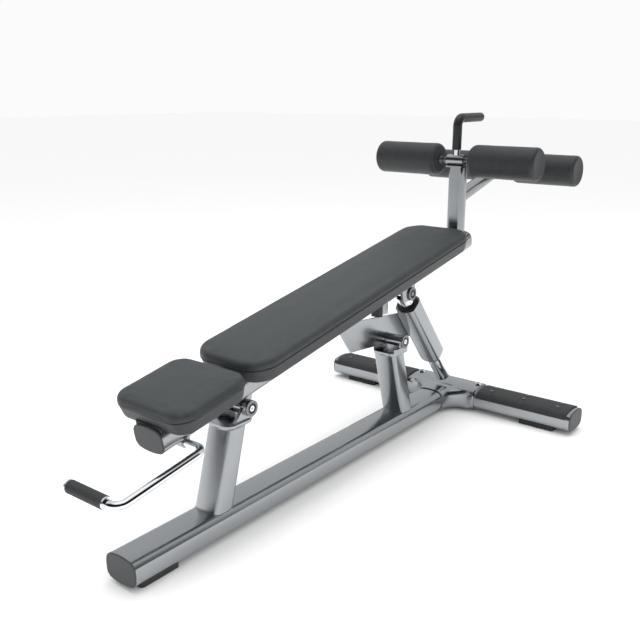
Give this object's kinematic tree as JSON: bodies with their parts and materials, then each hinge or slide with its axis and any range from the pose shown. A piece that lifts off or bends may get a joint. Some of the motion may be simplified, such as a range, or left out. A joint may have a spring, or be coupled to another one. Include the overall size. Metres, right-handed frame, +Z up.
{
  "type": "decline sit up bench",
  "caption": "Adjustable decline sit-up bench: sloping two-piece padded board on a leaning post frame, foam leg rollers, assist handle, telescopic strut and release lever.",
  "frame": {"origin": "on the floor under the middle of the bench's whole outline", "axes": "+X from the head pad towards the leg rollers, +Y to the left of someone facing +X, +Z up"},
  "size_m": [1.924, 0.95, 1.006],
  "materials": {
    "steel_paint": "satin metallic silver-grey powder coat",
    "cap_plastic": "moulded, fine texture",
    "black_rubber": "matte moulded rubber",
    "bright_steel": "chrome plated steel",
    "black_fitting": "smooth black",
    "bush_bronze": "turned bronze",
    "pad_vinyl": "charcoal grained upholstery vinyl",
    "pad_shell": "charcoal vinyl stretched over the pad board"
  },
  "bodies": {
    "root": {"floor_beam": "steel_paint", "floor_beam_cap": "cap_plastic", "front_foot": "black_rubber", "cross_saddle": "steel_paint", "cross_tube": "steel_paint", "cross_cap_left": "cap_plastic", "cross_cap_right": "cap_plastic", "step_pad_left": "black_rubber", "step_pad_right": "black_rubber", "step_pad_studs": "bright_steel", "rear_foot_left": "black_rubber", "rear_foot_right": "black_rubber", "saddle_screws": "bright_steel", "front_post": "steel_paint", "front_fork": "steel_paint", "mid_post": "steel_paint", "mid_fork": "steel_paint", "pivot_pins": "bright_steel", "pivot_rings": "bright_steel"},
    "bench": {"bench_beam": "steel_paint", "bench_end_caps": "cap_plastic", "front_hub": "steel_paint", "front_hub_bushes": "bush_bronze", "pad_spacers": "black_rubber", "head_pad_shell": "pad_shell", "head_pad_cushion": "pad_vinyl", "back_pad_shell": "pad_shell", "back_pad_cushion": "pad_vinyl", "strut_bracket": "steel_paint", "bump_stop": "black_rubber", "roller_post": "steel_paint", "post_head": "steel_paint", "front_axle": "bright_steel", "roller_arm": "steel_paint", "rear_axle": "bright_steel", "axle_washers": "bright_steel", "handle_stub": "bright_steel", "assist_handle": "black_fitting", "lever_bracket": "steel_paint"},
    "release_lever": {"lever_bar": "bright_steel", "lever_grip": "black_rubber", "lever_collars": "bright_steel"},
    "rocker": {"strut_sleeve": "steel_paint", "sleeve_bush": "cap_plastic", "rocker_plate": "steel_paint", "rocker_hub": "steel_paint", "latch_housing": "black_fitting"},
    "strut_tube_body": {"strut_tube": "bright_steel", "strut_tube_plug": "cap_plastic", "strut_eye": "black_fitting", "strut_pin": "bright_steel"},
    "latch": {"latch_pin": "bright_steel"},
    "roller_front_left": {"roller_front_left_foam": "pad_vinyl", "roller_front_left_core": "black_fitting"},
    "roller_front_right": {"roller_front_right_foam": "pad_vinyl", "roller_front_right_core": "black_fitting"},
    "roller_rear_left": {"roller_rear_left_foam": "pad_vinyl", "roller_rear_left_core": "black_fitting"},
    "roller_rear_right": {"roller_rear_right_foam": "pad_vinyl", "roller_rear_right_core": "black_fitting"}
  },
  "joints": [
    {"name": "bench_tilt", "type": "hinge", "parent": "root", "child": "bench", "pos_m": [-0.495, 0, 0.32], "axis": [0, -1, 0], "range_deg": [0, 12]},
    {"name": "rocker_swing", "type": "hinge", "parent": "root", "child": "rocker", "pos_m": [0.21, 0, 0.321], "axis": [0, 1, 0], "range_deg": [0, 13.77]},
    {"name": "strut_slide", "type": "slide", "parent": "rocker", "child": "strut_tube_body", "axis": [-0.6293, 0, 0.7771], "range_m": [0, 0.1866]},
    {"name": "lever_pull", "type": "hinge", "parent": "bench", "child": "release_lever", "pos_m": [-0.696, 0, 0.294], "axis": [0, 1, 0], "range_deg": [0, 15], "stiffness_Nm_per_rad": 6, "springref_deg": -34.38},
    {"name": "latch_draw", "type": "slide", "parent": "rocker", "child": "latch", "axis": [0.7771, 0, 0.6293], "range_m": [0, 0.004]},
    {"name": "roller_front_left_spin", "type": "hinge", "parent": "bench", "child": "roller_front_left", "pos_m": [0.575, 0, 0.855], "axis": [0, 1, 0], "continuous": true},
    {"name": "roller_front_right_spin", "type": "hinge", "parent": "bench", "child": "roller_front_right", "pos_m": [0.575, 0, 0.855], "axis": [0, 1, 0], "continuous": true},
    {"name": "roller_rear_left_spin", "type": "hinge", "parent": "bench", "child": "roller_rear_left", "pos_m": [0.908, 0, 0.81], "axis": [0, 1, 0], "continuous": true},
    {"name": "roller_rear_right_spin", "type": "hinge", "parent": "bench", "child": "roller_rear_right", "pos_m": [0.908, 0, 0.81], "axis": [0, 1, 0], "continuous": true}
  ],
  "couplings": [
    {"joint": "rocker_swing", "follows": "bench_tilt", "ratio": 1.1458},
    {"joint": "strut_slide", "follows": "bench_tilt", "m_per_rad": 0.88941},
    {"joint": "latch_draw", "follows": "lever_pull", "m_per_rad": 0.014897}
  ]
}
